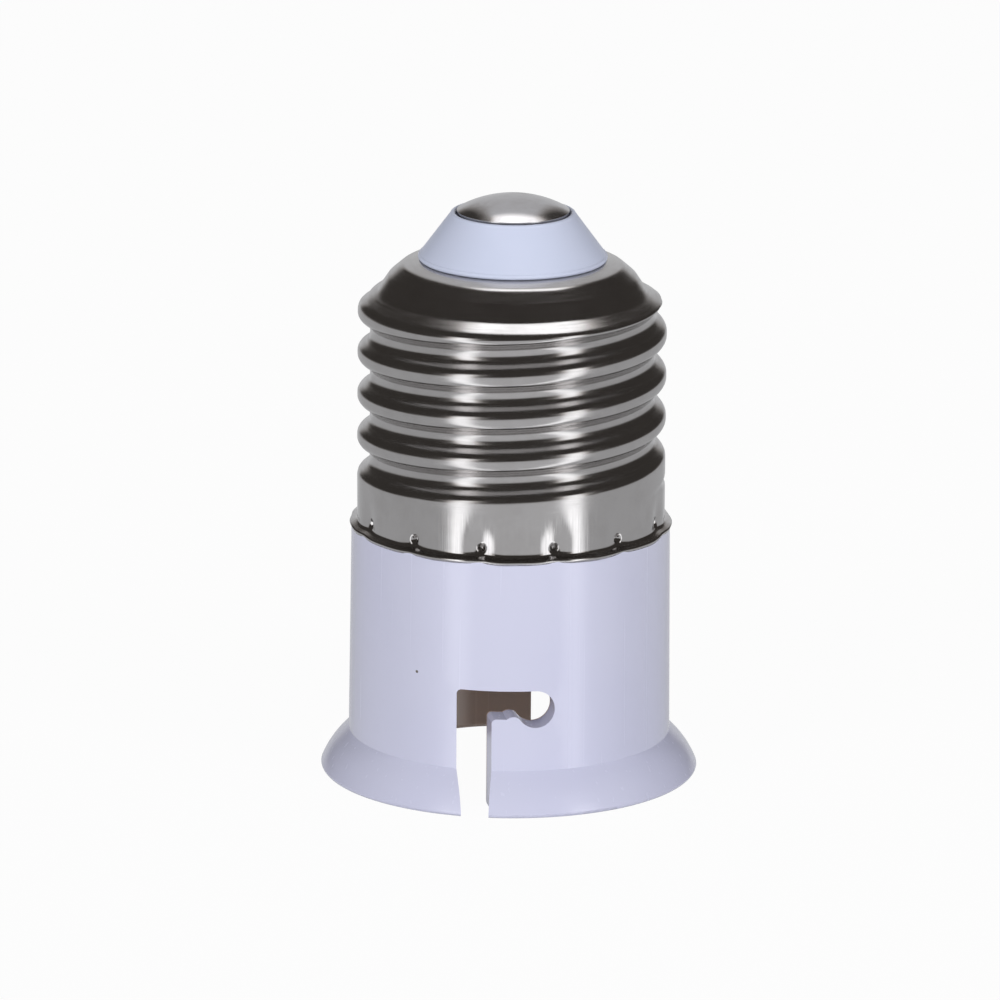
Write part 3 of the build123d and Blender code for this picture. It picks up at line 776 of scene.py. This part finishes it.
# Height of the nearest groove, and how far along the helix from full depth it is
above_groove = maths(tree, "SUBTRACT", height, sizes["Groove height"])
rise = maths(tree, "DIVIDE", above_groove, sizes["Pitch"])
lead = maths(tree, "DIVIDE", maths(tree, "SUBTRACT", turn, sizes["Groove turn"]), 360.0)
phase = maths(tree, "SUBTRACT", rise, lead)
groove = maths(tree, "ROUND", phase)
off_groove = maths(tree, "MULTIPLY", maths(tree, "SUBTRACT", phase, groove), sizes["Pitch"])
off_groove = maths(tree, "ABSOLUTE", off_groove)
helix_turn = maths(tree, "MULTIPLY", maths(tree, "ADD", lead, groove), 360.0)
past_end = maths(tree, "MULTIPLY", helix_turn, -1.0)
past_end = maths(tree, "DIVIDE", past_end, sizes["Run-out turn"])
lift = maths(tree, "MULTIPLY", maths(tree, "MAXIMUM", past_end, 0.0), sizes["Run-out lift"])

# Section of the thread: a root arc and a crest arc of one radius, tangent at a quarter pitch
half_pitch = maths(tree, "DIVIDE", sizes["Pitch"], 2.0)
arc = maths(
    tree,
    "DIVIDE",
    maths(tree, "ADD", squared(sizes["Depth"]), squared(half_pitch)),
    maths(tree, "MULTIPLY", sizes["Depth"], 4.0),
)
arc_square = squared(arc)
off_crest = maths(tree, "SUBTRACT", half_pitch, off_groove)
root_drop = maths(tree, "SQRT", maths(tree, "SUBTRACT", arc_square, squared(off_groove)))
crest_rise = maths(tree, "SQRT", maths(tree, "SUBTRACT", arc_square, squared(off_crest)))
root_radius = maths(tree, "SUBTRACT", sizes["Crest radius"], sizes["Depth"])
root_wall = maths(tree, "SUBTRACT", maths(tree, "ADD", root_radius, arc), root_drop)
crest_wall = maths(tree, "SUBTRACT", sizes["Crest radius"], arc)
crest_wall = maths(tree, "ADD", crest_wall, crest_rise)
in_root = maths(tree, "LESS_THAN", off_groove, maths(tree, "DIVIDE", half_pitch, 2.0))
wall_gap = maths(tree, "SUBTRACT", root_wall, crest_wall)
wall = maths(tree, "ADD", crest_wall, maths(tree, "MULTIPLY", wall_gap, in_root))
wall = maths(tree, "SUBTRACT", maths(tree, "ADD", wall, lift), inward)
shoulder_end = maths(tree, "ADD", sizes["Shoulder height"], shoulder_span)
shoulder_share = remap(tree, height, sizes["Shoulder height"], shoulder_end)
blend = maths(tree, "MULTIPLY", shoulder_share, shoulder_blend)
blend = maths(tree, "ADD", thread_blend, blend)
rolled = maths(tree, "SMOOTH_MIN", radius, wall, blend)

# Stake marks: a small cone from the punch inside a wider soft dent that fades upwards
across = maths(tree, "MULTIPLY", maths(tree, "RADIANS", off_stake), sizes["Crest radius"])
above = maths(tree, "SUBTRACT", height, sizes["Stake height"])
reach = maths(tree, "SQRT", maths(tree, "ADD", squared(across), squared(above)))
cone = maths(tree, "SUBTRACT", 1.0, maths(tree, "DIVIDE", reach, sizes["Stake radius"]))
punch = maths(tree, "MULTIPLY", maths(tree, "MAXIMUM", cone, 0.0), sizes["Stake depth"])
squeezed = maths(tree, "MULTIPLY", maths(tree, "MAXIMUM", above, 0.0), halo_squeeze)
sunk = maths(tree, "ADD", squeezed, maths(tree, "MINIMUM", above, 0.0))
halo_square = maths(tree, "ADD", squared(across), squared(sunk))
halo_share = maths(tree, "DIVIDE", halo_square, squared(sizes["Halo radius"]))
halo = maths(tree, "EXPONENT", maths(tree, "MULTIPLY", halo_share, halo_falloff))
halo = maths(tree, "MULTIPLY", halo, sizes["Halo depth"])
dent = maths(tree, "ADD", punch, halo)

# The hem hangs lower between the stakes, each span by its own amount
span_noise = node(tree, "ShaderNodeTexNoise", {"noise_dimensions": "2D"}, Scale=1.0, Detail=1.0)
seed_place = node(
    tree,
    "ShaderNodeCombineXYZ",
    X=maths(tree, "MULTIPLY", sine, hem_noise_ring),
    Y=maths(tree, "ADD", maths(tree, "MULTIPLY", cosine, hem_noise_ring), sizes["Seed"]),
)
connect(tree, span_noise.inputs["Vector"], seed_place.outputs[0])
hang = maths(tree, "SUBTRACT", 1.0, maths(tree, "COSINE", stake_wave))
hang = maths(tree, "MULTIPLY", hang, span_noise.outputs[0])
hang = maths(tree, "MULTIPLY", hang, sizes["Hem drop"])
above_hem = maths(tree, "SUBTRACT", height, sizes["Hem height"])
hem_share = maths(tree, "SUBTRACT", 1.0, maths(tree, "DIVIDE", above_hem, hem_fade))
hem_share = maths(tree, "MAXIMUM", hem_share, 0.0)
lowered = maths(tree, "SUBTRACT", height, maths(tree, "MULTIPLY", hang, hem_share))

# The whole sheet is a little uneven from rolling
uneven_place = node(
    tree,
    "ShaderNodeCombineXYZ",
    X=maths(tree, "MULTIPLY", cosine, rolling_noise_ring),
    Y=maths(tree, "MULTIPLY", sine, rolling_noise_ring),
    Z=maths(tree, "MULTIPLY", height, rolling_noise_rise),
)
uneven = noise(tree, uneven_place.outputs[0], 1.0, 2.0)
waver = maths(tree, "MULTIPLY", maths(tree, "SUBTRACT", uneven, 0.5), sizes["Unevenness"])
final_radius = maths(tree, "ADD", maths(tree, "SUBTRACT", rolled, dent), waver)
final_place = node(
    tree,
    "ShaderNodeCombineXYZ",
    X=maths(tree, "MULTIPLY", cosine, final_radius),
    Y=maths(tree, "MULTIPLY", sine, final_radius),
    Z=lowered,
)
moved = node(
    tree,
    "GeometryNodeSetPosition",
    Geometry=grid.outputs["Mesh"],
    Position=final_place.outputs[0],
)
welded = node(
    tree,
    "GeometryNodeMergeByDistance",
    Geometry=moved.outputs[0],
    Distance=weld_distance,
)
close_tree(tree, result, welded.outputs[0], sizes["Material"])

rolled_shell = bake("rolled_shell", outline_mesh, tree, shell_sizes)
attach(rolled_shell, "housing")
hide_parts("screw_shell")


# Tip insulator: a bluish white moulding that stands through the hole of the shell, clamped
# under it by its flange, with a thin raised ring round the contact.
tip_colour = (0.73, 0.78, 0.97)
tip_shade = (0.71, 0.765, 0.955)
tip_clouds = 150.0
tip_roughness = (0.3, 0.36)
tip_depth = 0.003 * MM

tip_moulding, tree, shader = new_material("tip_moulding", Metallic=0.0, IOR=1.5)
tip_tint = tint(tree, clouds(tree, tip_clouds), tip_colour, tip_shade)
connect(tree, shader.inputs["Base Color"], tip_tint)
skin = use_group(tree, moulded_skin, Waves_per_mm=0.3, Lines_per_mm=0.8, Line_share=0.1)
tip_spread = remap(tree, skin.outputs["Lines"], 0.2, 0.8, *tip_roughness)
connect(tree, shader.inputs["Roughness"], tip_spread)
bump(tree, shader, skin.outputs["Height"], tip_depth)
dress("tip_insulator", tip_moulding)


# Centre contact: a domed rivet, pressed from sheet and nickel plated, pulled down on the cone
# and clinched over its tag inside.
contact_colour = (0.60, 0.59, 0.60)
contact_dull = (0.46, 0.43, 0.42)

contact_metal = worn_metal(
    "contact_metal",
    contact_colour,
    contact_dull,
    marks=0.6,
    mottle=0.5,
    roughness=0.12,
    depth=0.004 * MM,
)
dress("centre_contact", contact_metal)


# Studio: the camera stands in front, a little above the part, which stands on a pale floor. The
# floor shows white to the camera but for a faint share that keeps the part's shadow, and it
# lets some of the light through from below. Reflections and a view from below see past it.
view_turn = math.radians(-9.5)
view_tilt = math.radians(15.16)
view_roll = math.radians(0.45)
camera_place = Vector((-0.12227, -0.72507, 0.22263))
camera_lens = 322.9
sensor_width = 36.0
floor_half = 3.0
floor_colour = (0.68, 0.68, 0.69)
floor_glow_share = 0.965
floor_leak = 0.15

camera_data = bpy.data.cameras.new("camera")
camera_data.lens = camera_lens
camera_data.sensor_width = sensor_width
camera_data.clip_start = 0.01
camera = bpy.data.objects.new("camera", camera_data)
camera.matrix_world = (
    Matrix.Translation(camera_place)
    @ Matrix.Rotation(view_turn, 4, "Z")
    @ Matrix.Rotation(math.pi / 2 - view_tilt, 4, "X")
    @ Matrix.Rotation(view_roll, 4, "Z")
)
bpy.context.scene.collection.objects.link(camera)
bpy.context.scene.camera = camera
bpy.context.scene.view_settings.view_transform = "Standard"

floor_mesh = bpy.data.meshes.new("floor")
floor_mesh.from_pydata(
    [(x * floor_half, y * floor_half, 0.0) for x, y in ((-1, -1), (1, -1), (1, 1), (-1, 1))],
    [],
    [(0, 1, 2, 3)],
)
floor = bpy.data.objects.new("floor", floor_mesh)
bpy.context.scene.collection.objects.link(floor)


def mix_shaders(tree, share, first, second):
    """Shader that is the first at share 0 and the second at share 1."""
    made = tree.nodes.new("ShaderNodeMixShader")
    connect(tree, made.inputs[0], share)
    connect(tree, made.inputs[1], first)
    connect(tree, made.inputs[2], second)
    return made.outputs[0]


floor_paint = bpy.data.materials.new("floor_paint")
floor_paint.use_nodes = True
tree = floor_paint.node_tree
tree.nodes.clear()
rays = tree.nodes.new("ShaderNodeLightPath").outputs
matt = node(tree, "ShaderNodeBsdfDiffuse", Color=(*floor_colour, 1.0))
white = node(tree, "ShaderNodeEmission", Color=(1.0, 1.0, 1.0, 1.0), Strength=1.0)
clear = tree.nodes.new("ShaderNodeBsdfTransparent")
seen = maths(tree, "MULTIPLY", rays["Is Camera Ray"], floor_glow_share)
shown = mix_shaders(tree, seen, matt.outputs[0], white.outputs[0])
under = tree.nodes.new("ShaderNodeNewGeometry").outputs["Backfacing"]
unseen = maths(tree, "SUBTRACT", 1.0, rays["Is Camera Ray"])
leak = maths(tree, "MULTIPLY", unseen, floor_leak)
through = maths(tree, "MAXIMUM", maths(tree, "MAXIMUM", under, leak), rays["Is Glossy Ray"])
surface = mix_shaders(tree, through, shown, clear.outputs[0])
output = tree.nodes.new("ShaderNodeOutputMaterial")
connect(tree, output.inputs["Surface"], surface)
floor_mesh.materials.append(floor_paint)

# World: white to the camera, and soft light on the part, stronger from the front and weaker
# from above. Reflections show a dark warm room, a grey floor that is lighter in front, the grey
# backdrop behind, a bright panel overhead and two upright soft boxes. Turns are degrees from
# the camera. The other edges say how far a direction reaches up, forward or to the right.
soft_light = 0.44
front_light = 0.13
overhead_loss = 0.34
room_light = 0.045
room_colour = (1.0, 0.90, 0.82)
floor_light = 0.47
floor_tint = (0.97, 0.98, 1.0)
floor_edge = (-0.10, 0.02)
floor_front = 0.60
floor_front_turn = 5.0
floor_front_edge = (22.0, 48.0)
backdrop_light = 0.6
backdrop_edge = (-0.88, -0.96)
backdrop_top_edge = (-0.42, -0.52)
backdrop_side_edge = (0.20, 0.34)
panel_light = 2.0
panel_left_edge = (-0.26, -0.18)
panel_right_edge = (0.30, 0.38)
panel_near_edge = (-0.15, -0.23)
panel_far_edge = (-0.42, -0.56)
box_light = 1.75
box_turns = (-38.0, 47.0)
box_edge = (3.0, 13.0)
box_top_edge = (0.42, 0.56)

world = bpy.data.worlds.new("studio")
bpy.context.scene.world = world
world.use_nodes = True
tree = world.node_tree
tree.nodes.clear()


def reach_along(vector, way):
    """How far the vector reaches in this direction, in the world's tree."""
    made = node(tree, "ShaderNodeVectorMath", {"operation": "DOT_PRODUCT"})
    connect(tree, made.inputs[0], vector)
    connect(tree, made.inputs[1], way)
    return made.outputs["Value"]


def between(share, first, second):
    """Value that is the first at share 0 and the second at share 1, in the world's tree."""
    gap = maths(tree, "SUBTRACT", second, first)
    return maths(tree, "ADD", first, maths(tree, "MULTIPLY", share, gap))


def off_turn(turn):
    """How far round the mirrored direction is from this turn, in radians."""
    return maths(tree, "ABSOLUTE", maths(tree, "SUBTRACT", swing, math.radians(turn)))


rays = tree.nodes.new("ShaderNodeLightPath").outputs
mirroring = rays["Is Glossy Ray"]
gaze = tree.nodes.new("ShaderNodeTexCoord").outputs["Generated"]
upward = reach_along(gaze, (0.0, 0.0, 1.0))
forward = reach_along(gaze, (math.sin(view_turn), -math.cos(view_turn), 0.0))
rightward = reach_along(gaze, (math.cos(view_turn), math.sin(view_turn), 0.0))
swing = maths(tree, "ARCTAN2", rightward, forward)

above_floor = remap(tree, upward, *floor_edge)
backdrop_low = remap(tree, forward, *backdrop_edge)
backdrop_top = remap(tree, forward, *backdrop_top_edge)
backdrop_side = remap(tree, maths(tree, "ABSOLUTE", rightward), *backdrop_side_edge, 1.0, 0.0)
backdrop_top = maths(tree, "MULTIPLY", backdrop_top, backdrop_side)
backdrop_share = maths(tree, "MAXIMUM", backdrop_low, backdrop_top)
panel_width = maths(
    tree,
    "MULTIPLY",
    remap(tree, rightward, *panel_left_edge),
    remap(tree, rightward, *panel_right_edge, 1.0, 0.0),
)
panel_span = maths(
    tree,
    "MULTIPLY",
    remap(tree, forward, *panel_near_edge),
    remap(tree, forward, *panel_far_edge, 1.0, 0.0),
)
panel_share = maths(tree, "MULTIPLY", maths(tree, "MULTIPLY", panel_width, panel_span), above_floor)
room_share = maths(tree, "MAXIMUM", backdrop_share, panel_share)
room_share = maths(tree, "MAXIMUM", maths(tree, "SUBTRACT", above_floor, room_share), 0.0)

front_low, front_high = map(math.radians, floor_front_edge)
front_share = remap(tree, off_turn(floor_front_turn), front_low, front_high, 1.0, 0.0)
mirrored = between(front_share, floor_light, floor_front)
mirrored = between(above_floor, mirrored, room_light)
mirrored = between(backdrop_share, mirrored, backdrop_light)
mirrored = between(panel_share, mirrored, panel_light)
box_inside, box_outside = map(math.radians, box_edge)
for box_turn in box_turns:
    box_width = remap(tree, off_turn(box_turn), box_inside, box_outside, 1.0, 0.0)
    box_height = remap(tree, upward, *box_top_edge, 1.0, 0.0)
    box_share = maths(tree, "MULTIPLY", box_width, box_height)
    mirrored = between(box_share, mirrored, box_light)
    room_share = maths(tree, "MULTIPLY", room_share, maths(tree, "SUBTRACT", 1.0, box_share))

soft = maths(tree, "ADD", soft_light, maths(tree, "MULTIPLY", forward, front_light))
overhead = maths(tree, "MULTIPLY", maths(tree, "MAXIMUM", upward, 0.0), overhead_loss)
soft = maths(tree, "SUBTRACT", soft, overhead)
level = between(mirroring, soft, mirrored)
clean = maths(tree, "MAXIMUM", rays["Is Camera Ray"], rays["Is Transmission Ray"])
cool = tint(tree, mirroring, (1.0, 1.0, 1.0), floor_tint)
warm = maths(tree, "MULTIPLY", room_share, mirroring)
sky = node(
    tree,
    "ShaderNodeBackground",
    Color=tint(tree, warm, cool, room_colour),
    Strength=between(clean, level, 1.0),
)
output = tree.nodes.new("ShaderNodeOutputWorld")
connect(tree, output.inputs["Surface"], sky.outputs[0])

# Lamps: two upright soft boxes, each with its name, its turn from the camera and its power.
# Reflections see the world's own boxes in their stead.
lamps = (("left_box", -40.0, 1.98), ("right_box", 47.0, 1.92))
lamp_distance = 0.6
lamp_width = 0.16
lamp_height = 0.6

for lamp_name, lamp_turn, power in lamps:
    lamp = bpy.data.lights.new(lamp_name, "AREA")
    lamp.shape = "RECTANGLE"
    lamp.size = lamp_width
    lamp.size_y = lamp_height
    lamp.energy = power
    holder = bpy.data.objects.new(lamp_name, lamp)
    heading = view_turn + math.radians(lamp_turn)
    holder.location = (
        math.sin(heading) * lamp_distance,
        -math.cos(heading) * lamp_distance,
        lamp_height / 2,
    )
    holder.rotation_euler = (math.pi / 2, 0.0, heading)
    holder.visible_glossy = False
    bpy.context.scene.collection.objects.link(holder)
